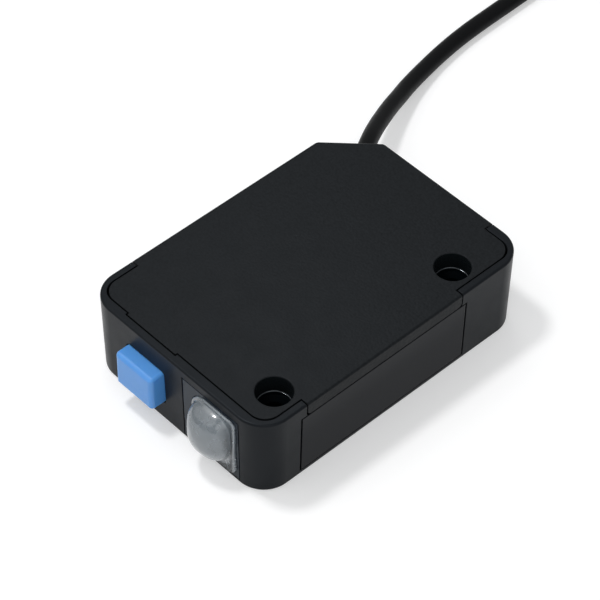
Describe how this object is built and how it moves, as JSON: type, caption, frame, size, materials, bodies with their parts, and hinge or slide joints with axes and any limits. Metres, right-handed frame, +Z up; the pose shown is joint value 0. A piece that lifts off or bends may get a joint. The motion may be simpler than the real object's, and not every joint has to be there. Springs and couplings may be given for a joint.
{
  "type": "transparent object sensor",
  "caption": "Flat moulded photoelectric sensor for clear objects, with a dark optical window, a push button, a domed status light, screw holes and a cable from a cut corner.",
  "frame": {"origin": "middle of the case's flat base", "axes": "+Y along the length, away from the button and the status light; +Z up through the cover; +X out of the optical window"},
  "size_m": [0.0595, 0.1899, 0.0165],
  "materials": {
    "housing_black": "fine spark-eroded matt",
    "window_dark": "polished",
    "indicator_milky": "translucent, polished",
    "button_blue": "satin",
    "rubber_black": "matt",
    "holder_black": "matt",
    "board_green": "solder mask",
    "chip_black": "moulded",
    "plated_metal": "tin plated",
    "lens_clear": "polished",
    "filter_grey": "polished",
    "led_green": "clear tinted",
    "led_yellow": "clear tinted",
    "emitter_red": "clear tinted",
    "cable_grey": "satin jacket",
    "lead_brown": "satin",
    "lead_white": "satin",
    "lead_blue": "satin",
    "lead_black": "satin"
  },
  "bodies": {
    "sensor": {"button_seal": "rubber_black", "cable_clamp": "plated_metal", "cable_coil": "cable_grey", "cable_entry": "cable_grey", "cable_lead_black": "lead_black", "cable_lead_blue": "lead_blue", "cable_lead_brown": "lead_brown", "cable_lead_white": "lead_white", "cable_run": "cable_grey", "cable_seal": "rubber_black", "cable_tail": "cable_grey", "capacitor": "plated_metal", "case": "housing_black", "cover": "housing_black", "emitter_filter": "filter_grey", "emitter_led": "emitter_red", "emitter_lens": "lens_clear", "front_window": "window_dark", "indicator_bezel": "window_dark", "indicator_lens": "indicator_milky", "inner_lead_black": "lead_black", "inner_lead_blue": "lead_blue", "inner_lead_brown": "lead_brown", "inner_lead_white": "lead_white", "main_board": "board_green", "optics_board": "board_green", "optics_holder": "holder_black", "output_driver": "chip_black", "processor": "chip_black", "receiver_diode": "chip_black", "receiver_filter": "filter_grey", "receiver_lens": "lens_clear", "receiver_shield": "plated_metal", "status_led_green": "led_green", "status_led_yellow": "led_yellow", "switch_body": "chip_black", "voltage_regulator": "chip_black"},
    "button": {"teach_button": "button_blue", "switch_plunger": "plated_metal"}
  },
  "joints": [
    {"name": "button_press", "type": "slide", "parent": "sensor", "child": "button", "axis": [0, 1, 0], "range_m": [0, 0.0005], "stiffness_N_per_m": 4000}
  ]
}
